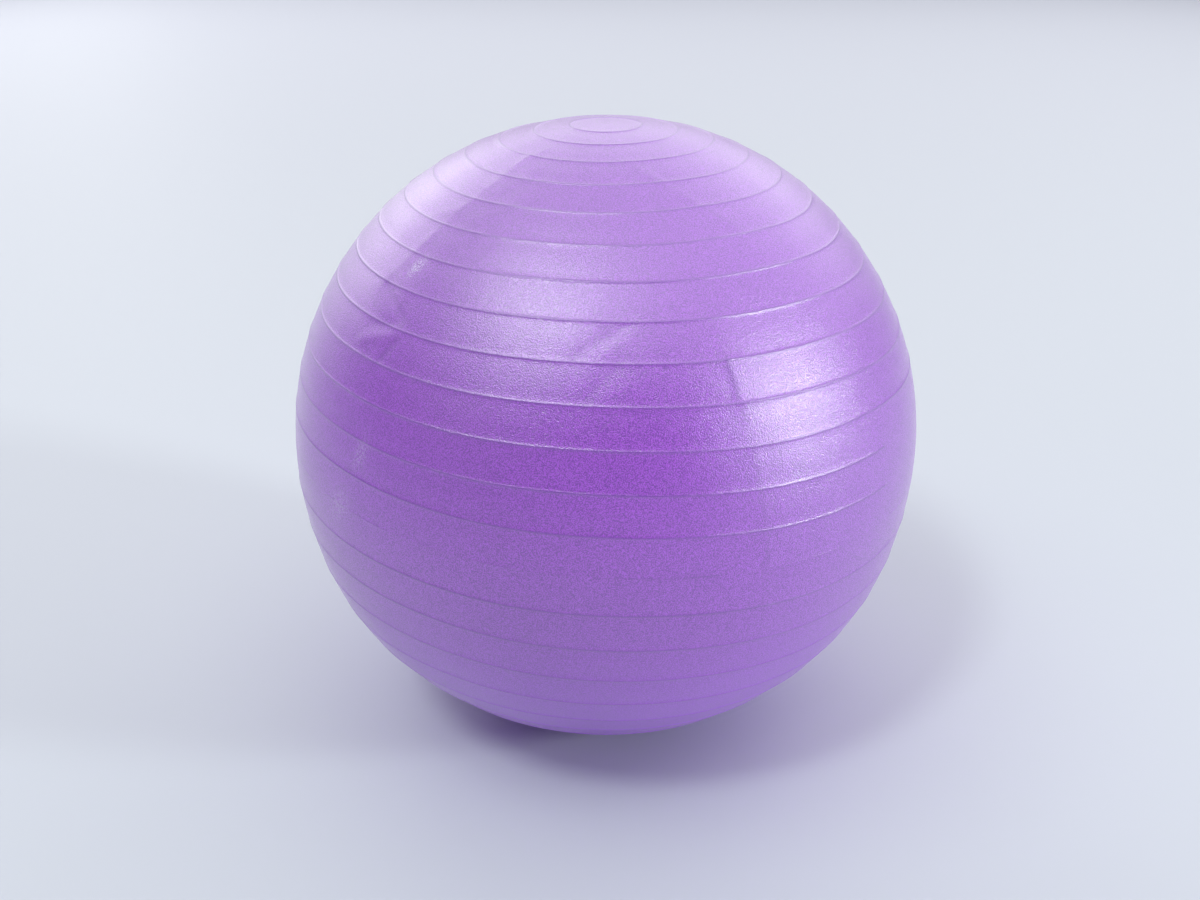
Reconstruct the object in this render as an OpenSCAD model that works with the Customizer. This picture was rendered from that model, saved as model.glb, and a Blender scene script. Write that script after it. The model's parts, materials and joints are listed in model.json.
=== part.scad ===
// Inflatable exercise ball: a hollow moulded skin with raised grip ribs,
// a valve seat bonded into its wall, and a push-in valve plug.
// Millimetres. +Z is up, and the origin is the centre of the flat on which the ball rests.

/* [Ball] */
// Diameter of the inflated skin at its equator, over the plain wall
ball_d = 650; // [450:10:850]
// Wall thickness of the inflated skin
skin_t = 1; // [0.8:0.1:2]
// Radius of the flat where the soft ball rests on the floor
rest_r = 60; // [45:1:75]

/* [Grip ribs] */
// Ribs between a pole and the equator
ribs_per_half = 13; // [10:1:16]
// Width of a rib where it leaves the skin
rib_w = 4; // [3:0.2:5]
// Height of a rib above the skin
rib_h = 0.9; // [0.6:0.1:1.4]
// Width of the mould's parting bead at the equator
bead_w = 1.2; // [0.8:0.1:2]
// Height of the parting bead
bead_h = 0.25; // [0.2:0.05:0.4]

/* [Plain panel] */
// Half of the panel's spread round the ball, in degrees
panel_half = 36; // [20:1:50]
// Ribs above the equator that stop at the panel
panel_ribs = 2; // [1:1:3]

/* [Valve seat] */
// Radius of the seat's neck, which fills the hole in the skin
neck_r = 12; // [12:0.5:14]
// Radius of the flange bonded to the inside of the skin
flange_r = 22; // [20:1:28]
// Thickness of the flange
flange_t = 2; // [1.6:0.1:3]
// Outer radius of the tube that reaches into the ball
tube_r = 7.5; // [7:0.5:9]
// Depth of the tube's inner end below the ball's surface
tube_depth = 19; // [16:1:24]
// Radius of the bore that the plug's stem fills
bore_r = 4.5; // [4:0.1:5]

/* [Valve plug] */
// Radius of the plug's head
head_r = 8.2; // [7.5:0.1:8.4]
// Thickness of the head at its edge
head_t = 1.2; // [1:0.1:1.6]
// Rise of the head's dome above its edge
dome_h = 0.6; // [0.4:0.1:1]
// Length of the stem below the head
stem_l = 24; // [22:1:28]
// Sealing ribs round the stem
stem_seals = 3; // [2:1:4]

/* [Hidden] */

ball_r = ball_d / 2;
centre_z = sqrt(ball_r * ball_r - rest_r * rest_r);
rib_pitch = 90 / (ribs_per_half + 1);
last_rib = 2 * ribs_per_half + 1;

// The panel and the valve face +X, and the valve is halfway up the panel.
valve_polar = 90 - rib_pitch * (panel_ribs + 1) / 2;
recess_r = head_r + 0.3;
recess_depth = head_t + dome_h / 2;
notch_r = 2.5;
notch_depth = 1;

stem_clearance = 0.05;
head_clearance = 0.02;
seal_r = bore_r - stem_clearance;
core_r = seal_r - 0.6;
tip_r = 2.9;
tip_l = 5;
seal_land = 0.5;
seal_h = 1.6;
seal_start = 5;
seal_pitch = 4;
hollow_r = 1.8;
hollow_l = 15;

skin_colour = [0.56, 0.36, 0.74];
valve_colour = [0.93, 0.92, 0.95];
huge = 2 * ball_d;
fine = 180;
round = 64;

// Radius of the arc that spans this chord with this rise.
function arc_radius(chord, rise) = (chord * chord / 4 + rise * rise) / (2 * rise);

// A rib runs all the way round unless the panel interrupts it.
function is_interrupted(k) = k > ribs_per_half - panel_ribs && k <= ribs_per_half;

// Cross-section of a bead that stands out of the skin, at an angle from the top of the ball.
module bead_section(polar, width, height) {
    r = arc_radius(width, height);
    rotate(90 - polar)
        translate([ball_r + height - r, 0])
            circle(r = r, $fn = round);
}

// The half-plane right of the ball's axis and above a height over the floor.
module above(height) {
    translate([0, height - centre_z])
        square([huge, huge]);
}

// Wall of the ball in section, with the ribs that run all the way round and the parting bead.
module skin_section() {
    difference() {
        intersection() {
            union() {
                circle(r = ball_r, $fn = fine);
                bead_section(90, bead_w, bead_h);
                for (k = [1 : last_rib])
                    if (k != ribs_per_half + 1 && !is_interrupted(k))
                        bead_section(k * rib_pitch, rib_w, rib_h);
            }
            above(0);
        }
        intersection() {
            circle(r = ball_r - skin_t, $fn = fine);
            above(skin_t);
        }
    }
}

// A rib that stops square at both edges of the panel.
module interrupted_rib(polar) {
    rotate_extrude(angle = 360 - 2 * panel_half, start = panel_half, $fn = fine)
        bead_section(polar, rib_w, rib_h);
}

// Puts children on the valve's axis, with z = 0 on the ball's surface and +z outwards.
module on_valve_axis() {
    translate([0, 0, centre_z])
        rotate([0, valve_polar, 0])
            translate([0, 0, ball_r])
                children();
}

// The ball's round outline as seen in a section through the valve's axis.
module ball_outline(r) {
    translate([0, -ball_r])
        circle(r = r, $fn = fine);
}

// A band right of the valve's axis, out to a radius and between two depths.
module band(r, deep, shallow) {
    translate([0, -deep])
        square([r, deep - shallow]);
}

module ball_skin() {
    color(skin_colour)
        difference() {
            translate([0, 0, centre_z]) {
                rotate_extrude($fn = fine)
                    skin_section();
                difference() {
                    for (k = [1 : last_rib])
                        if (is_interrupted(k))
                            interrupted_rib(k * rib_pitch);
                    sphere(r = ball_r - skin_t / 2, $fn = fine);
                }
            }
            on_valve_axis()
                cylinder(r = neck_r, h = 20, center = true, $fn = round);
        }
}

module seat_section() {
    difference() {
        union() {
            intersection() {
                ball_outline(ball_r);
                band(neck_r, skin_t + flange_t / 2, -1);
            }
            intersection() {
                difference() {
                    ball_outline(ball_r - skin_t);
                    ball_outline(ball_r - skin_t - flange_t);
                }
                band(flange_r, 10, 0);
            }
            band(tube_r, tube_depth, skin_t + flange_t / 2);
        }
        band(recess_r, recess_depth, -1);
        band(bore_r, tube_depth + 1, 0);
    }
}

module valve_seat() {
    color(skin_colour)
        on_valve_axis()
            difference() {
                rotate_extrude($fn = fine)
                    seat_section();
                // Notch in the recess's edge, for levering the plug out.
                translate([recess_r, 0, -notch_depth])
                    cylinder(r = notch_r, h = 5, $fn = round);
            }
}

// One barb of the stem: a full-width land above a taper that leads it into the bore.
module stem_seal() {
    translate([0, 0, -seal_land])
        cylinder(r = seal_r, h = seal_land, $fn = round);
    translate([0, 0, -seal_h])
        cylinder(r1 = core_r, r2 = seal_r, h = seal_h - seal_land, $fn = round);
}

// The plug's head, with z = 0 at its underside.
module plug_head() {
    dome_r = arc_radius(2 * head_r, dome_h);
    intersection() {
        cylinder(r = head_r, h = head_t + dome_h + 1, $fn = fine);
        translate([0, 0, head_t + dome_h - dome_r])
            sphere(r = dome_r, $fn = fine);
    }
}

module valve_plug() {
    color(valve_colour)
        on_valve_axis()
            translate([0, 0, head_clearance - recess_depth])
                difference() {
                    union() {
                        plug_head();
                        translate([0, 0, tip_l - stem_l])
                            cylinder(r = core_r, h = stem_l - tip_l + head_t / 2, $fn = round);
                        translate([0, 0, -stem_l])
                            cylinder(r1 = tip_r, r2 = core_r, h = tip_l, $fn = round);
                        for (i = [0 : stem_seals - 1])
                            translate([0, 0, -seal_start - i * seal_pitch])
                                stem_seal();
                    }
                    // Blind hole that lets the stem squeeze as it goes in.
                    translate([0, 0, -stem_l - 1])
                        cylinder(r = hollow_r, h = hollow_l + 1, $fn = round);
                }
}

ball_skin();
valve_seat();
valve_plug();
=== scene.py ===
import json
import math

import bmesh
import bpy
import numpy as np
from mathutils import Matrix, Vector, noise


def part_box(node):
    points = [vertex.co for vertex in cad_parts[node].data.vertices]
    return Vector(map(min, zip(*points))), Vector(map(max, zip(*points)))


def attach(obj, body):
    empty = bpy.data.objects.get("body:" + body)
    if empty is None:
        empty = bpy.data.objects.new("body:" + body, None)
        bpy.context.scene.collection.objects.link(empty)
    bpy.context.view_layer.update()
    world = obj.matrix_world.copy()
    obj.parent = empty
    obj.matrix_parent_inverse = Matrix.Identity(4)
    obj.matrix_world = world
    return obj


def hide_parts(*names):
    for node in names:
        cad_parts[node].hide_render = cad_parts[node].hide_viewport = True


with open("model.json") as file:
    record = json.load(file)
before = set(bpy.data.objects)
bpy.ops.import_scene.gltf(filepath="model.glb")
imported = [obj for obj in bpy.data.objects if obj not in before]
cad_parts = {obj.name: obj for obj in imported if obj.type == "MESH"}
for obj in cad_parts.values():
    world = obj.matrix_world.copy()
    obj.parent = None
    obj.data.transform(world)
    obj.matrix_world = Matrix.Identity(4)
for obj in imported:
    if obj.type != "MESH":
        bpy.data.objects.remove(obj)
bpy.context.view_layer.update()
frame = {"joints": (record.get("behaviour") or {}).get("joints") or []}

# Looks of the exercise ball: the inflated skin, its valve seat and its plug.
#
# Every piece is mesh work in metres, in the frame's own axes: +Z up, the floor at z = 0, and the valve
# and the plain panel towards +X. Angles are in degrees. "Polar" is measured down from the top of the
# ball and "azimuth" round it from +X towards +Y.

# --- Driving sizes ---------------------------------------------------------------------------

MM = 0.001
SKIN_LOW, SKIN_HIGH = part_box("ball_skin")
BEAD_RISE = 0.25 * MM
BALL_R = (SKIN_HIGH.x - SKIN_LOW.x) / 2 - BEAD_RISE
CENTRE_Z = SKIN_HIGH.z - BALL_R
WALL = 1.0 * MM

RIBS_PER_HALF = 13
RIB_PITCH = 90 / (RIBS_PER_HALF + 1)
EQUATOR_RIB = RIBS_PER_HALF + 1
RIB_RISE = 0.6 * MM
RIB_HALF_WIDTH = 1.0 * MM
RIB_REACH = 2.1 * MM
PANEL_RIBS = (12, 13)
PANEL_HALF = 36.0

# The valve's axis is the plug's slide.
VALVE_AXIS = Vector(frame["joints"][0]["axis"]).normalized()
VALVE_POLAR = math.degrees(math.acos(VALVE_AXIS.z))
HOLE_R = 12 * MM
PAD_R = 22 * MM
PAD_RISE = 0.12 * MM

# Camera, as the ball would be photographed by someone standing in front of it.
CAMERA_DISTANCE = 4.4 * BALL_R
CAMERA_ELEVATION = 23.8
CAMERA_TILT_OVER_CENTRE = 1.08
CAMERA_PAN = 0.26
CAMERA_LENS = 39.9


# --- Shape of the inflated skin --------------------------------------------------------------

def smooth(edge0, edge1, x):
    """0 below edge0, 1 above edge1 and smooth between them."""
    t = np.clip((x - edge0) / (edge1 - edge0), 0, 1)
    return t * t * (3 - 2 * t)


def slump(polar):
    """How far the soft skin has slid down under its own weight, in degrees of polar angle."""
    below = np.clip((polar - 84) / 96, 0, 1)
    return 3.0 * np.sin(np.pi * below) ** 2 - 0.6 * np.sin(np.radians(2 * polar))


def lean(polar):
    """How far the ribs dip towards +X, in degrees: nothing at the poles, most at the equator."""
    below = np.clip((polar - 18) / 81, 0, 2)
    return 3.2 * np.sin(np.pi / 2 * below) ** 2


def wander(polar, azimuth):
    """Small bends of the ribs, in degrees, where the skin is stretched unevenly."""
    a = np.radians(azimuth)
    p = np.radians(polar)
    return np.sin(p) * (0.16 * np.sin(3 * a + 2.1 * p) + 0.11 * np.sin(7 * a - 3.3 * p + 1.0))


def placed(polar, azimuth):
    """Polar angle at which a point of the moulded skin ends up on the inflated, standing ball."""
    return polar + slump(polar) + lean(polar) * np.cos(np.radians(azimuth)) + wander(polar, azimuth)


def body_radius(place):
    """Radius of the ball, whose lower half bulges a little and whose top is a little flat."""
    bulge = 0.010 * np.exp(-(((place - 120) / 15) ** 2))
    return BALL_R * (1 + bulge) - 4 * MM * np.exp(-((place / 16) ** 2))


def direction(place, azimuth):
    """Unit vectors from the ball's centre."""
    p, a = np.radians(place), np.radians(azimuth)
    return np.stack([np.sin(p) * np.cos(a), np.sin(p) * np.sin(a), np.cos(p)], -1)


def bead(distance, rise, half_width):
    """Height of a rounded bead at a distance from its middle line."""
    return rise * np.exp(-((np.abs(distance) / half_width) ** 2.4))


def wrapped(azimuth):
    """The same azimuth between -180 and 180."""
    return (azimuth + 180) % 360 - 180


def rib_height(polar, azimuth):
    """Height of the grip ribs and of the parting bead, in metres."""
    ring = np.clip(np.round(polar / RIB_PITCH), 1, 2 * RIBS_PER_HALF + 1)
    across = np.radians(polar - ring * RIB_PITCH) * BALL_R
    past_end = np.radians(PANEL_HALF - np.abs(wrapped(azimuth))) * BALL_R * np.sin(np.radians(polar))
    past_end = np.where(np.isin(ring, PANEL_RIBS), np.maximum(past_end + RIB_HALF_WIDTH, 0), 0)
    wear = np.sin(np.radians(2 * azimuth + 47 * ring)) * np.sin(np.radians(5 * azimuth + 20 * ring))
    rib = bead(np.hypot(across, past_end), RIB_RISE * (1 + 0.10 * wear), RIB_HALF_WIDTH)
    patchy = 0.55 + 0.45 * np.sin(np.radians(9 * azimuth)) * np.sin(np.radians(23 * azimuth + 40))
    flash = bead(across, BEAD_RISE * patchy, 0.6 * MM)
    return np.where(ring == EQUATOR_RIB, flash, rib)


# Folds that packing has left in the skin. Each runs from one (azimuth, polar) point to another, rises
# by so many millimetres (or sinks, where negative) over a half-width in millimetres, and last comes
# how much painted shade darkens its line. A fold with two half-widths is steeper on its first,
# lower-azimuth side.
FOLDS = [
    # The long fold down the front, right of the middle: a kink first, then only a soft ridge.
    ((-69.2, 51.0), (-68.1, 58.2), 0.18, (6.0, 12.0), 0.15),
    ((-68.1, 58.2), (-66.9, 65.0), 0.46, (3.0, 14.0), 0.90),
    ((-66.9, 65.0), (-66.0, 71.5), 0.20, (7.0, 12.0), 0.15),
    ((-66.0, 71.5), (-64.4, 88.0), 0.24, (4.0, 6.0), 0.65),
    ((-64.4, 88.0), (-63.6, 100.0), 0.18, (4.0, 6.0), 0.45),
    # Z-shaped dent near the top of the front.
    ((-84.5, 51.6), (-90.0, 53.6), -0.35, (5.0, 5.0), 0.30),
    ((-86.8, 52.6), (-95.3, 57.1), -0.60, (8.0, 5.0), 0.30),
    ((-84.5, 53.0), (-91.2, 57.3), 0.22, (6.0, 6.0), 0.00),
    ((-88.2, 58.6), (-93.0, 63.3), -0.62, (9.0, 4.0), 0.45),
    ((-83.0, 59.6), (-90.5, 64.0), 0.14, (6.0, 6.0), 0.00),
    # Shallow dips along the parting line, darkened in dashes by painted shade.
    ((-88.0, 90.0), (-76.5, 90.0), -0.03, (1.5, 1.5), 0.35),
    ((-76.5, 90.0), (-73.5, 90.0), -0.05, (1.5, 1.5), 1.00),
    # Wrinkles on the left.
    ((-141.5, 52.0), (-133.5, 55.6), -1.10, (4.5, 4.5), 0.45),
    ((-139.0, 50.0), (-135.0, 51.8), 0.60, (4.0, 4.0), 0.00),
    ((-141.0, 61.8), (-133.0, 59.2), 1.00, (4.0, 5.0), 0.00),
    ((-140.0, 58.8), (-134.0, 57.2), -0.70, (5.0, 5.0), 0.40),
    ((-132.3, 60.2), (-134.2, 63.2), -0.80, (2.5, 2.5), 1.00),
    ((-134.2, 76.0), (-133.0, 84.0), -0.30, (5.0, 5.0), 0.15),
    # Soft pleats that fan out from the top, left and right.
    ((-128.0, 17.0), (-132.0, 20.5), 0.70, (6.0, 9.0), 0.00),
    ((-132.0, 20.5), (-132.5, 27.0), 0.50, (6.0, 9.0), 0.00),
    ((-132.5, 27.0), (-138.5, 42.5), 0.42, (8.0, 10.0), 0.00),
    ((-138.5, 42.5), (-143.5, 52.0), 0.40, (6.0, 6.0), 0.30),
    ((-122.0, 26.0), (-129.5, 30.5), 0.50, (5.0, 6.0), 0.00),
    ((-117.0, 25.0), (-124.0, 29.0), -0.60, (5.0, 5.0), 0.20),
    ((-118.0, 32.0), (-125.5, 35.5), 0.45, (4.0, 5.0), 0.10),
    ((-136.0, 34.5), (-142.5, 37.5), 0.55, (4.0, 5.0), 0.10),
    ((-80.0, 19.5), (-71.0, 24.5), 0.40, (5.0, 5.0), 0.30),
    ((-71.0, 24.5), (-53.5, 37.0), 0.45, (5.0, 5.0), 0.30),
    ((-74.0, 27.0), (-74.0, 38.0), -0.25, (5.0, 5.0), 0.20),
    ((-48.5, 51.0), (-43.5, 58.0), 0.18, (6.0, 6.0), 0.20),
    ((-43.5, 58.0), (-42.0, 64.0), 0.14, (6.0, 6.0), 0.20),
]

# Pale scuffs: azimuth, polar, half-sizes across and down in millimetres, and strength.
SCUFFS = [
    (-136.0, 47.2, 6, 11, 1.0),
    (-134.0, 79.5, 8, 14, 0.45),
    (-140.0, 90.5, 14, 16, 0.40),
    (-58.0, 76.0, 10, 10, 0.25),
]


def scuff_share(polar, azimuth):
    """How scuffed the skin is, from 0 to 1."""
    share = np.zeros_like(polar)
    for az, pol, across, down, strength in SCUFFS:
        x = np.radians(wrapped(azimuth - az)) * BALL_R * math.sin(math.radians(pol)) / (across * MM)
        y = np.radians(polar - pol) * BALL_R / (down * MM)
        share = np.maximum(share, strength * np.exp(-((x + 0.6 * y) ** 2) - y ** 2))
    return share


def fold_height(polar, azimuth):
    """(height in metres, painted shade along the fold lines from 0 to 1) of the folds."""
    height, crease = np.zeros_like(polar), np.zeros_like(polar)
    for (az0, pol0), (az1, pol1), rise, halves, dark in FOLDS:
        squeeze = math.sin(math.radians((pol0 + pol1) / 2))
        x = wrapped(azimuth - az0) * squeeze
        y = polar - pol0
        dx, dy = (az1 - az0) * squeeze, pol1 - pol0
        length = math.hypot(dx, dy)
        along = (x * dx + y * dy) / length
        off = np.radians((x * dy - y * dx) / length) * BALL_R
        beyond = np.radians(np.maximum(np.maximum(-along, along - length), 0)) * BALL_R
        fade = np.exp(-((beyond / (8 * MM)) ** 2))
        width = np.where(off < 0, halves[0], halves[1]) * MM
        height += rise * MM * np.exp(-np.abs(off) / width) * fade
        line = min(2.0, 0.6 * min(halves)) * MM
        # Painted shade: a dark line along each fold, darkest where the fold says.
        crease = np.maximum(crease, dark * np.exp(-((off / line) ** 2)) * fade)
    return height, crease


def undulation(unit):
    """Slow waves of the skin, in metres, at a direction from the ball's centre."""
    out = np.empty(len(unit))
    for i, d in enumerate(unit):
        v = Vector(d)
        out[i] = 0.45 * noise.noise(v * 3.1) + 0.16 * noise.noise(v * 8.0 + Vector((5, 1, 2)))
    return out * MM


def from_valve(unit):
    """Distance along the skin from the valve's axis, in metres."""
    return np.arccos(np.clip(unit @ np.array(VALVE_AXIS), -1, 1)) * BALL_R


def settle(z, level):
    """Presses what would lie under a level flat onto it, with a short round transition."""
    soft = 2.5 * MM
    over = z - level
    pressed = np.where(over > soft, over, np.where(over < -soft, 0, (over + soft) ** 2 / (4 * soft)))
    return level + pressed


def skin_points(place, azimuth, height=0.0, depth=0.0):
    """Points of the skin at a depth under its outer surface."""
    unit = direction(place, azimuth)
    near = from_valve(unit)
    away = smooth(20 * MM, 60 * MM, near)
    pad = PAD_RISE * (1 - smooth(PAD_R - 2 * MM, PAD_R + 1 * MM, near))
    radius = body_radius(place) + undulation(unit) * away + height + pad - depth
    points = unit * radius[:, None] + np.array([0, 0, CENTRE_Z])
    points[:, 2] = settle(points[:, 2], depth)
    return points


# --- Grid of the skin ------------------------------------------------------------------------

def rib_rows():
    """Polar angles of the grid's rows: six over each rib, and even steps between the ribs."""
    across = [-RIB_REACH, -1.15 * MM, -0.4 * MM, 0.4 * MM, 1.15 * MM, RIB_REACH]
    over_rib = np.degrees(np.array(across) / BALL_R)
    over_bead = over_rib / 2
    near_pole = [0.8, 2.4, 4.2]
    rows = list(near_pole)
    for ring in range(1, 2 * RIBS_PER_HALF + 2):
        middle = ring * RIB_PITCH
        rows += list(middle + (over_bead if ring == EQUATOR_RIB else over_rib))
        if ring <= 2 * RIBS_PER_HALF:
            # Most rows are where the folds are.
            steps = 8 if 7 <= ring <= 9 else 5 if 6 <= ring <= 15 else 4
            reach = over_bead[0] if ring == RIBS_PER_HALF else over_rib[0]
            rows += list(np.linspace(rows[-1], middle + RIB_PITCH + reach, steps + 2)[1:-1])
    rows += [180 - polar for polar in near_pole[::-1]]
    return np.array(rows)


# The long front fold runs at this azimuth half-way down, and drifts by so many degrees for each one down.
FRONT_FOLD = -66.4
FOLD_DRIFT = 0.098


def columns():
    """Azimuths of the grid's columns at the equator, closer together in front and at the rib ends."""
    front = np.linspace(-150, -30, 168)
    back = np.linspace(-30, 210, 204)[1:-1]
    every = wrapped(np.concatenate([front, back]))
    ends = [side * (PANEL_HALF + past) for side in (-1, 1) for past in (-0.05, 0.2, 0.5)]
    every = [a for a in every if min(abs(a - e) for e in ends) > 0.3]
    fold = [FRONT_FOLD + off for off in (-0.30, 0.0, 0.30)]
    every = [a for a in every if min(abs(a - f) for f in fold) > 0.45]
    every = sorted(every + ends + fold)
    spare = len(every) % 8
    for _ in range(spare):  # the count is halved three times towards the poles
        gaps = [every[i + 2] - every[i] for i in range(len(every) - 2)]
        behind = [g if abs(every[i + 1] - 90) < 70 else 99 for i, g in enumerate(gaps)]
        every.pop(int(np.argmin(behind)) + 1)
    return np.array(every)


def follow_fold(azimuth, polar):
    """Shifts columns near the long front fold so that one of them runs along it."""
    drift = (np.clip(polar, 50, 104) - 77) * FOLD_DRIFT
    share = smooth(44, 52, polar) * (1 - smooth(102, 112, polar))
    return azimuth + drift * np.exp(-(((azimuth - FRONT_FOLD) / 9) ** 2)) * share


def level_of(polar):
    """How often the columns are halved at a polar angle, as the rows get shorter towards a pole."""
    s = math.sin(math.radians(polar))
    return 0 if s > 0.5 else 1 if s > 0.25 else 2 if s > 0.12 else 3


class Surface:
    """The outer surface while it is built: its points, its faces and what each point carries."""

    def __init__(self):
        self.points = []
        self.faces = []
        self.shares = {"rib": [], "crease": [], "scuff": []}

    def add(self, points, **shares):
        """Adds points, and returns the number of the first."""
        first = len(self.points)
        self.points += list(points)
        for name, values in self.shares.items():
            values += list(shares.get(name, [0.0] * len(points)))
        return first


def stitch(surface, row, below, skipped):
    """Faces between two rows, each given as (first point, count), without the skipped columns."""
    (a, n), (b, m) = row, below
    for j in range(min(n, m)):
        k = (j + 1) % min(n, m)
        if n < m:
            mid, end = b + 2 * j + 1, b + (2 * j + 2) % m
            surface.faces += [(a + j, b + 2 * j, mid), (a + j, mid, a + k), (a + k, mid, end)]
        elif n > m:
            mid, end = a + 2 * j + 1, a + (2 * j + 2) % n
            surface.faces += [(a + 2 * j, b + j, mid), (mid, b + j, b + k), (mid, b + k, end)]
        elif j not in skipped:
            surface.faces.append((a + j, b + j, b + k, a + k))


def cap_pole(surface, pole, start, count):
    """A fan of faces between a pole and the row next to it."""
    tip = surface.add(skin_points(np.array([pole]), np.array([0.0])))
    for j in range(count):
        pair = (start + j, start + (j + 1) % count)
        surface.faces.append((tip, *pair) if pole < 90 else (tip, *pair[::-1]))


def valve_block(rows, cols):
    """First and last row and column of the block of cells that the rings round the valve replace."""
    half = PAD_R + 1 * MM
    x = np.radians(wrapped(cols)) * BALL_R * math.sin(math.radians(VALVE_POLAR))
    y = np.radians(placed(rows, np.zeros_like(rows)) - VALVE_POLAR) * BALL_R
    c = np.where(np.abs(x) < half)[0]
    r = np.where(np.abs(y) < half)[0]
    return r[0] - 1, r[-1] + 1, c[0] - 1, c[-1] + 1


# (radius, depth) of the rings from the block's edge in to the hole, and down through the wall.
HOLE_RINGS = [(19 * MM, 0), (15.5 * MM, 0), (13.2 * MM, 0), (12.4 * MM, 0), (12.12 * MM, 0.08 * MM),
              (HOLE_R, 0.3 * MM), (HOLE_R, WALL)]


def ring_valve(surface, loop, place, azimuth):
    """Closes in from a loop of points to the valve's hole."""
    squeeze = math.sin(math.radians(VALVE_POLAR))
    x = np.radians(wrapped(azimuth)) * BALL_R * squeeze
    y = np.radians(place - VALVE_POLAR) * BALL_R
    far = np.hypot(x, y)
    outer = loop
    for radius, depth in HOLE_RINGS:
        scale = np.minimum(radius / far, 0.97)
        ring_place = VALVE_POLAR + np.degrees(y * scale / BALL_R)
        ring_azimuth = np.degrees(x * scale / (BALL_R * squeeze))
        first = surface.add(skin_points(ring_place, ring_azimuth, depth=depth))
        inner = list(range(first, first + len(loop)))
        for j in range(len(loop)):
            k = (j + 1) % len(loop)
            surface.faces.append((outer[j], inner[j], inner[k], outer[k]))
        outer = inner


def outer_skin():
    """The outer surface, down to the inner rim of the valve's hole."""
    rows, cols = rib_rows(), columns()
    row_azimuths = [follow_fold(cols[::2 ** level_of(row)], row) for row in rows]
    counts = [len(a) for a in row_azimuths]
    starts = [sum(counts[:i]) for i in range(len(rows))]
    polar, azimuth = np.repeat(rows, counts), np.concatenate(row_azimuths)
    place = placed(polar, azimuth)
    ribs = rib_height(polar, azimuth)
    folds, crease = fold_height(polar, azimuth)
    surface = Surface()
    surface.add(skin_points(place, azimuth, ribs + folds), rib=np.clip(ribs / RIB_RISE, 0, 1),
                crease=crease, scuff=scuff_share(polar, azimuth))

    r0, r1, c0, c1 = valve_block(rows, cols)
    for i in range(len(rows) - 1):
        skipped = range(c0, c1) if r0 <= i < r1 else ()
        stitch(surface, (starts[i], counts[i]), (starts[i + 1], counts[i + 1]), skipped)
    cap_pole(surface, 0.0, starts[0], counts[0])
    cap_pole(surface, 180.0, starts[-1], counts[-1])

    loop = [starts[r0] + j for j in range(c0, c1)]
    loop += [starts[i] + c1 for i in range(r0, r1)]
    loop += [starts[r1] + j for j in range(c1, c0, -1)]
    loop += [starts[i] + c0 for i in range(r1, r0, -1)]
    ring_valve(surface, loop, place[loop], azimuth[loop])
    return surface


def add_inner_skin(bm):
    """The inside of the wall, joined to the hole's rim. It is coarser, because only the rim shows."""
    rows, n = np.linspace(1.5, 178.5, 56), 88
    cols = -180 + 360 / n * (np.arange(n) + 0.5)
    ring_verts = []
    for row in rows:
        points = skin_points(placed(np.full(n, row), cols), cols, depth=WALL)
        ring_verts.append([bm.verts.new(p) for p in points])
    hole_reach = 20 * MM
    open_faces = []
    for i in range(len(rows) - 1):
        for j in range(n):
            k = (j + 1) % n
            quad = [ring_verts[i][j], ring_verts[i][k], ring_verts[i + 1][k], ring_verts[i + 1][j]]
            middle = sum((v.co for v in quad), Vector()) / 4 - Vector((0, 0, CENTRE_Z))
            if middle.angle(VALVE_AXIS) * BALL_R < hole_reach:
                open_faces.append(quad)
            else:
                bm.faces.new(quad)
    for pole, ring in ((0.0, ring_verts[0]), (180.0, ring_verts[-1])):
        tip = bm.verts.new(skin_points(np.array([pole]), np.array([0.0]), depth=WALL)[0])
        for j in range(n):
            bm.faces.new((tip, ring[j], ring[(j + 1) % n]))
    for v in {v for quad in open_faces for v in quad if not v.link_faces}:
        bm.verts.remove(v)
    bmesh.ops.bridge_loops(bm, edges=[e for e in bm.edges if len(e.link_faces) == 1])


def make_skin():
    """The whole wall as one closed mesh, with the shares of rib, of painted fold shade and of scuff as
    attributes.
    """
    surface = outer_skin()
    bm = bmesh.new()
    layers = {name: bm.verts.layers.float.new(name) for name in surface.shares}
    verts = [bm.verts.new(p) for p in surface.points]
    for name, layer in layers.items():
        for v, share in zip(verts, surface.shares[name]):
            v[layer] = float(share)
    for f in surface.faces:
        bm.faces.new([verts[i] for i in f])
    for v in [v for v in bm.verts if not v.link_faces]:
        bm.verts.remove(v)
    add_inner_skin(bm)
    bmesh.ops.recalc_face_normals(bm, faces=bm.faces)
    return mesh_object("skin", bm)


def mesh_object(name, bm):
    """Turns a finished bmesh into an object with smooth shading."""
    mesh = bpy.data.meshes.new(name)
    bm.to_mesh(mesh)
    bm.free()
    mesh.polygons.foreach_set("use_smooth", [True] * len(mesh.polygons))
    obj = bpy.data.objects.new(name, mesh)
    bpy.context.scene.collection.objects.link(obj)
    return obj


# --- Valve parts -----------------------------------------------------------------------------

def valve_frame():
    """Turns the valve's own axes, z out of the ball and x down it, into the frame's."""
    down = Vector((VALVE_AXIS.z, 0, -VALVE_AXIS.x))
    matrix = Matrix((down, VALVE_AXIS.cross(down), VALVE_AXIS)).transposed().to_4x4()
    matrix.translation = Vector((0, 0, CENTRE_Z)) + VALVE_AXIS * BALL_R
    return matrix


def rounded(outline, steps=3):
    """An outline of (r, z, corner radius) points in millimetres, with its corners turned into arcs."""
    out = []
    n = len(outline)
    for i, (r, z, corner) in enumerate(outline):
        here = Vector((r, z))
        if corner <= 0:
            out.append(here)
            continue
        before = Vector(outline[i - 1][:2]) - here
        after = Vector(outline[(i + 1) % n][:2]) - here
        reach = min(corner, before.length * 0.45, after.length * 0.45)
        start, end = here + before.normalized() * reach, here + after.normalized() * reach
        for s in range(steps + 1):
            t = s / steps
            out.append(start * (1 - t) ** 2 + here * 2 * t * (1 - t) + end * t ** 2)
    return out


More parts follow.
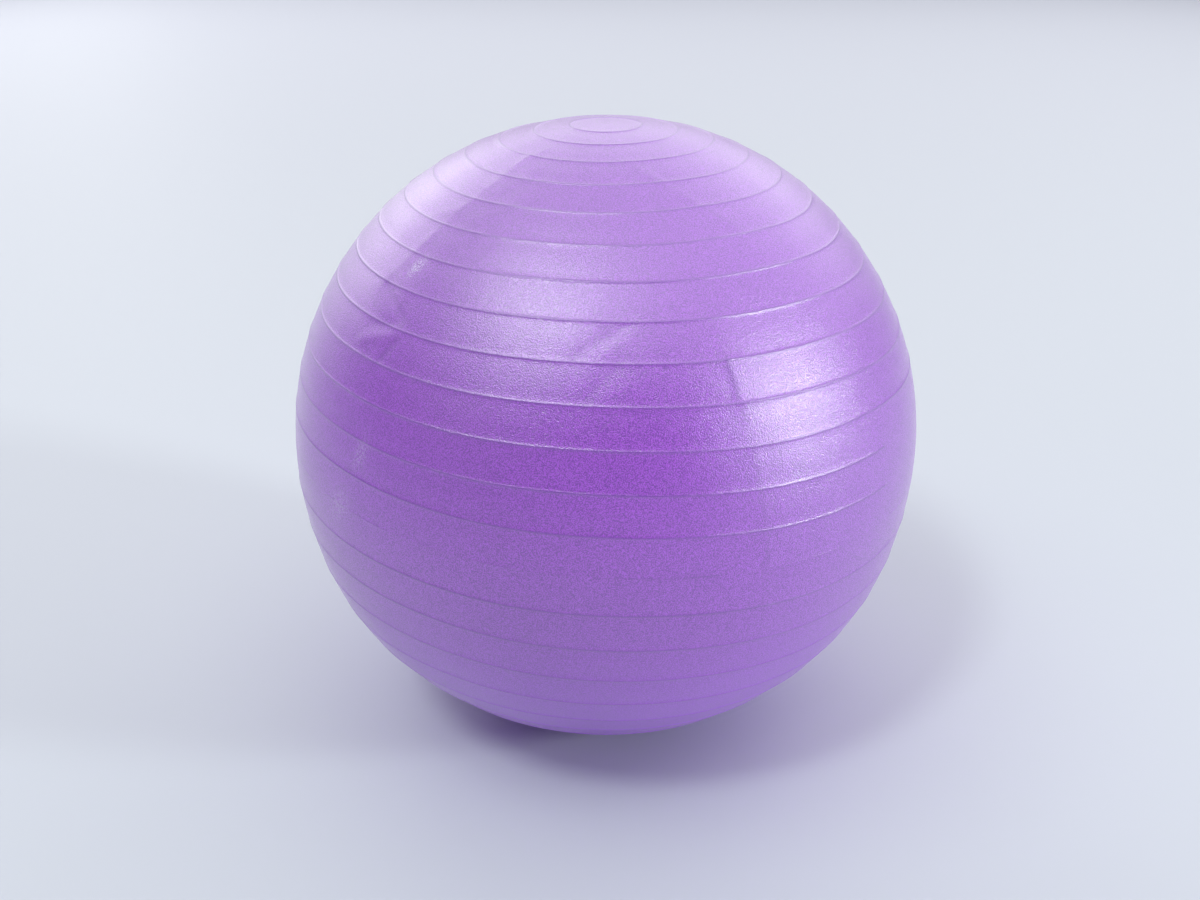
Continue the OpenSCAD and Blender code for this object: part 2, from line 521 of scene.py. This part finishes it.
def lathe(name, outline, segments=128, closed=True, reshape=None):
    """Turns an outline round the valve's axis. reshape(r, z, angle) may change each point's radius."""
    bm = bmesh.new()
    rings = []
    for p in outline:
        if p.x < 1e-6:
            rings.append([bm.verts.new((0, 0, p.y * MM))])
            continue
        ring = []
        for s in range(segments):
            angle = 2 * math.pi * s / segments
            r = reshape(p.x, p.y, angle) if reshape else p.x
            ring.append(bm.verts.new((r * math.cos(angle) * MM, r * math.sin(angle) * MM, p.y * MM)))
        rings.append(ring)
    pairs = list(zip(rings, rings[1:] + rings[:1])) if closed else list(zip(rings, rings[1:]))
    for a, b in pairs:
        for s in range(segments):
            t = (s + 1) % segments
            corners = [a[s % len(a)], a[t % len(a)], b[t % len(b)], b[s % len(b)]]
            unique = list(dict.fromkeys(corners))
            if len(unique) > 2:
                bm.faces.new(unique)
    bmesh.ops.recalc_face_normals(bm, faces=bm.faces)
    bm.transform(valve_frame())
    return mesh_object(name, bm)


def cap_z(radius, under=0.0):
    """Height in millimetres of a sphere that lies so far under the ball's surface, at a radius."""
    r = BALL_R / MM
    return math.sqrt((r - under) ** 2 - radius ** 2) - r


# Sizes of the valve, in millimetres and degrees.
RECESS_R = 8.5
RECESS_FLOOR = -1.5
NOTCH_FLOOR = -1.0
NOTCH_REACH = 2.3
NOTCH_HALF_ANGLE = 17
NECK_R = 12
FLANGE_R = 22
BORE_R = 4.5
TUBE_END = -19.0
PLUG_HEAD_R = 8.2
PLUG_STEM_R = 3.85
PLUG_HEAD_UNDER = -1.48


def notch(r, z, angle):
    """Widens the seat's recess at its lower edge, above the notch's floor."""
    if not (RECESS_R - 0.1 < r < RECESS_R + 0.9 and z > NOTCH_FLOOR - 0.05):
        return r
    off = math.degrees(abs((angle + math.pi) % (2 * math.pi) - math.pi))
    open_share = max(0.0, 1 - (off / NOTCH_HALF_ANGLE) ** 2) ** 0.5
    return r + NOTCH_REACH * open_share


def make_seat():
    """Neck, flange and tube, with a recess for the plug's head."""
    recess_top, neck_side = cap_z(RECESS_R), NECK_R - 0.07
    inside, flange_under = 1.02, 3.0
    outline = [
        (BORE_R, TUBE_END, 0.5), (BORE_R, RECESS_FLOOR, 0.5), (RECESS_R, RECESS_FLOOR, 0.35),
        (RECESS_R + 0.02, NOTCH_FLOOR - 0.02, 0.05), (RECESS_R + 0.08, NOTCH_FLOOR, 0.05),
        (RECESS_R + 0.1, recess_top, 0.35),
        (11.5, cap_z(11.5), 0), (neck_side, cap_z(NECK_R) - 0.15, 0.2),
        (neck_side, cap_z(NECK_R, inside), 0), (16.0, cap_z(16, inside), 0),
        (21.8, cap_z(21.8, inside), 0.2), (FLANGE_R, cap_z(FLANGE_R, 1.8), 0.5),
        (20.5, cap_z(20.5, flange_under), 0.5), (14.0, cap_z(14, flange_under), 0),
        (7.5, cap_z(7.5, flange_under), 1.2), (7.3, TUBE_END + 0.6, 0), (6.8, TUBE_END, 0.3),
    ]
    return lathe("seat", rounded(outline), reshape=notch)


def make_plug():
    """Domed head with a sunken ring and a dimple, and a hollow stem with three sealing ribs."""
    def dome(r):
        return 0.3 - 0.6 * (r / PLUG_HEAD_R) ** 2

    groove, dimple, under = 0.14, 0.15, PLUG_HEAD_UNDER
    outline = [(0, -16.6, 0), (1.8, -16.6, 0.4), (1.8, -25.3, 0), (2.0, -25.48, 0.1), (2.8, -25.48, 0.3),
               (PLUG_STEM_R, -20.5, 0.4)]
    for top in (-14.48, -10.48, -6.48):
        outline += [(PLUG_STEM_R, top - 1.6, 0.1), (4.4, top - 0.55, 0.25), (4.43, top - 0.1, 0.15),
                    (PLUG_STEM_R, top, 0.15)]
    outline += [(PLUG_STEM_R, under, 0.4), (PLUG_HEAD_R - 0.25, under, 0.15),
                (PLUG_HEAD_R, under + 0.3, 0.15), (PLUG_HEAD_R, -0.3, 0.5)]
    outline += [(7.0, dome(7.0), 0), (6.35, dome(6.35), 0.1), (6.2, dome(6.2) - groove, 0.1),
                (5.8, dome(5.8) - groove, 0.1), (5.65, dome(5.65), 0.1), (4.0, dome(4.0), 0),
                (1.5, dome(1.5), 0.15), (1.2, dome(1.2) - dimple, 0.1), (0, dome(0) - dimple, 0)]
    return lathe("plug", rounded(outline, 2), closed=False)


# --- Materials -------------------------------------------------------------------------------

class Nodes:
    """Short calls for building one material's node tree."""

    def __init__(self, name):
        self.material = bpy.data.materials.new(name)
        self.material.use_nodes = True
        self.tree = self.material.node_tree
        self.shader = self.tree.nodes["Principled BSDF"]
        self.place = self.add("ShaderNodeTexCoord").outputs["Object"]

    def add(self, kind, **settings):
        node = self.tree.nodes.new(kind)
        for key, value in settings.items():
            setattr(node, key, value)
        return node

    def link(self, out, socket):
        self.tree.links.new(out, socket)

    def noise(self, scale, detail=2.0, rough=0.5):
        node = self.add("ShaderNodeTexNoise")
        self.link(self.place, node.inputs["Vector"])
        for key, value in (("Scale", scale), ("Detail", detail), ("Roughness", rough)):
            node.inputs[key].default_value = value
        return node.outputs["Fac"]

    def attribute(self, name):
        return self.add("ShaderNodeAttribute", attribute_name=name).outputs["Fac"]

    def span(self, value, low, high, to_low=0.0, to_high=1.0):
        """Maps low..high to to_low..to_high, clamped."""
        node = self.add("ShaderNodeMapRange", interpolation_type="SMOOTHSTEP")
        self.link(value, node.inputs["Value"])
        keys = ("From Min", "From Max", "To Min", "To Max")
        for key, number in zip(keys, (low, high, to_low, to_high)):
            node.inputs[key].default_value = number
        return node.outputs["Result"]

    def math(self, operation, a, b):
        node = self.add("ShaderNodeMath", operation=operation)
        for socket, value in zip(node.inputs, (a, b)):
            if isinstance(value, (int, float)):
                socket.default_value = value
            else:
                self.link(value, socket)
        return node.outputs[0]

    def mix(self, share, a, b):
        """Colour a at share 0 and b at share 1."""
        node = self.add("ShaderNodeMix", data_type="RGBA")
        self.link(share, node.inputs["Factor"])
        for socket, value in ((node.inputs[6], a), (node.inputs[7], b)):
            if isinstance(value, tuple):
                socket.default_value = (*value, 1)
            else:
                self.link(value, socket)
        return node.outputs[2]

    def bump(self, height, distance, normal=None):
        node = self.add("ShaderNodeBump")
        node.inputs["Strength"].default_value = 1.0
        node.inputs["Distance"].default_value = distance
        self.link(height, node.inputs["Height"])
        if normal:
            self.link(normal, node.inputs["Normal"])
        return node.outputs["Normal"]

    def set(self, **values):
        """Sets sockets of the shader to numbers, colours or other nodes' outputs."""
        for key, value in values.items():
            socket = self.shader.inputs[key.replace("_", " ")]
            if isinstance(value, (int, float)):
                socket.default_value = value
            elif isinstance(value, tuple):
                socket.default_value = (*value, 1)
            else:
                self.link(value, socket)


def skin_material():
    """Satin PVC: a hazy reflection from its fine grain, and a sharper one over it."""
    n = Nodes("satin_pvc")
    grain = n.noise(950.0, 1.0, 0.6)
    base = n.mix(n.span(grain, 0.36, 0.64), (0.175, 0.014, 0.395), (0.425, 0.070, 0.745))
    base = n.mix(n.span(n.noise(6.0, 3.0), 0.3, 0.7, 0.0, 0.14), base, (0.250, 0.030, 0.500))
    # Painted shade: the ribs are darkened to deepen the dark lines along them.
    base = n.mix(n.math("MULTIPLY", n.attribute("rib"), 0.75), base, (0.170, 0.012, 0.390))
    # Painted shade: the skin is darkened along the lines of the folds.
    base = n.mix(n.math("MULTIPLY", n.attribute("crease"), 0.55), base, (0.150, 0.016, 0.350))
    # Painted sheen: the top is paled towards lavender to stand in for the hazy reflection that lies on
    # it, and scuffs have left white marks.
    height = n.add("ShaderNodeSeparateXYZ")
    n.link(n.place, height.inputs[0])
    base = n.mix(n.span(height.outputs["Z"], 0.40, 0.62, 0.0, 0.16), base, (0.50, 0.40, 0.64))
    # Light that comes up from the floor through the thin wall brightens the underside.
    base = n.mix(n.span(height.outputs["Z"], 0.02, 0.28, 0.80, 0.0), base, (0.400, 0.022, 0.880))
    scuffed = n.math("MULTIPLY", n.attribute("scuff"), n.span(n.noise(500.0, 2.0, 0.8), 0.46, 0.60))
    base = n.mix(scuffed, base, (0.66, 0.56, 0.82))
    n.set(Base_Color=base, Roughness=0.41, IOR=1.65, Specular_IOR_Level=1.0)
    n.set(Coat_Weight=1.0, Coat_Roughness=0.21, Coat_IOR=1.5)
    n.set(Sheen_Weight=0.10, Sheen_Roughness=0.5)
    normal = n.bump(grain, 0.00040, n.bump(n.noise(200.0, 2.0, 0.5), 0.00008))
    n.set(Normal=normal, Coat_Normal=normal)
    return n.material


def seat_material():
    n = Nodes("moulded_pvc")
    base = n.mix(n.noise(90.0, 2.0), (0.250, 0.075, 0.490), (0.275, 0.085, 0.520))
    n.set(Base_Color=base, Roughness=0.42, IOR=1.5, Normal=n.bump(n.noise(1800.0, 2.0), 0.00005))
    return n.material


def plug_material():
    n = Nodes("milky_polyethylene")
    base = n.mix(n.noise(120.0, 3.0), (0.47, 0.46, 0.45), (0.54, 0.53, 0.52))
    n.set(Base_Color=base, Roughness=0.38, IOR=1.5, Normal=n.bump(n.noise(700.0, 3.0), 0.00006))
    return n.material


# --- Studio ----------------------------------------------------------------------------------

FLOOR_HALF = 30


def make_floor():
    bm = bmesh.new()
    bmesh.ops.create_grid(bm, x_segments=1, y_segments=1, size=FLOOR_HALF)
    floor = mesh_object("floor", bm)
    n = Nodes("pale_floor")
    n.set(Base_Color=(0.56, 0.565, 0.64), Roughness=0.6)
    floor.data.materials.append(n.material)


SKY = (0.97, 1.0, 0.97)
LAMP = (0.89, 1.0, 0.90)
ROOM = (0.72, 0.66, 1.0)
ROOM_STRENGTH = 0.16

# Soft boxes as seen from the ball: (name, azimuth and elevation of the middle, angles they span across
# and up, radiance, colour). Azimuth 0 is in front of the ball, 90 on the right and 180 behind it.
SOFT_BOXES = [
    ("front_softbox", -34, 54, 14, 10, 34.0, LAMP),
    ("front_fill", 18, 61, 66, 20, 1.35, LAMP),
    ("left_softbox", -60, 57, 56, 26, 2.5, LAMP),
    ("left_wall", -58, 23, 34, 12, 1.1, SKY),
    ("right_window", 72, 15.5, 8, 9, 82.0, LAMP),
    ("right_high_window", 105, 50, 70, 16, 0.85, SKY),
    ("right_wall", 84, 26, 60, 36, 0.45, SKY),
    ("back_left_window", -138, 19, 44, 30, 2.1, SKY),
    ("back_window", 180, 28, 60, 44, 1.20, SKY),
    ("back_right_window", 136, 23, 40, 30, 1.35, SKY),
    ("overhead", 0, 90, 66, 66, 0.75, SKY),
]
LIGHT_DISTANCE = 8.0


def soft_box(name, azimuth, elevation, across, up, radiance, colour):
    """A large panel that faces the ball, far enough off to light the floor round it evenly."""
    data = bpy.data.lights.new(name, "AREA")
    data.shape = "RECTANGLE"
    # A box spans azimuth, so it is narrower the higher it hangs, but the one overhead is square.
    narrowing = math.cos(math.radians(elevation)) if elevation < 80 else 1.0
    data.size = 2 * LIGHT_DISTANCE * math.tan(math.radians(across / 2)) * narrowing
    data.size_y = 2 * LIGHT_DISTANCE * math.tan(math.radians(up / 2))
    data.energy = math.pi * data.size * data.size_y * radiance
    data.color = colour
    light = bpy.data.objects.new(name, data)
    bpy.context.scene.collection.objects.link(light)
    a, e = math.radians(azimuth), math.radians(elevation)
    out = Vector((math.sin(a) * math.cos(e), -math.cos(a) * math.cos(e), math.sin(e)))
    light.location = Vector((0, 0, CENTRE_Z)) + out * LIGHT_DISTANCE
    light.rotation_mode = "QUATERNION"
    light.rotation_quaternion = out.to_track_quat("Z", "Y")
    light.visible_camera = False


def make_lights():
    world = bpy.data.worlds.new("studio")
    world.use_nodes = True
    background = world.node_tree.nodes["Background"]
    background.inputs["Color"].default_value = (*ROOM, 1)
    background.inputs["Strength"].default_value = ROOM_STRENGTH
    bpy.context.scene.world = world
    for box in SOFT_BOXES:
        soft_box(*box)


def make_camera():
    data = bpy.data.cameras.new("camera")
    data.lens = CAMERA_LENS
    data.sensor_width = 36
    data.clip_end = 100
    camera = bpy.data.objects.new("camera", data)
    e = math.radians(CAMERA_ELEVATION)
    camera.location = Vector((0, -math.cos(e), math.sin(e))) * CAMERA_DISTANCE + Vector((0, 0, CENTRE_Z))
    tilt = math.radians(90 - CAMERA_ELEVATION - CAMERA_TILT_OVER_CENTRE)
    camera.rotation_euler = (tilt, 0, math.radians(CAMERA_PAN))
    bpy.context.scene.collection.objects.link(camera)
    bpy.context.scene.camera = camera


# --- Build -----------------------------------------------------------------------------------

bpy.context.scene.view_settings.view_transform = "Standard"
make_camera()
make_lights()
make_floor()

for piece, node, body, slot, material in (
    (make_skin(), "ball_skin", "ball", "skin", skin_material()),
    (make_seat(), "valve_seat", "ball", "seat", seat_material()),
    (make_plug(), "valve_plug", "plug", "plug", plug_material()),
):
    piece.data.materials.append(material)
    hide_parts(node)
    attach(piece, body)
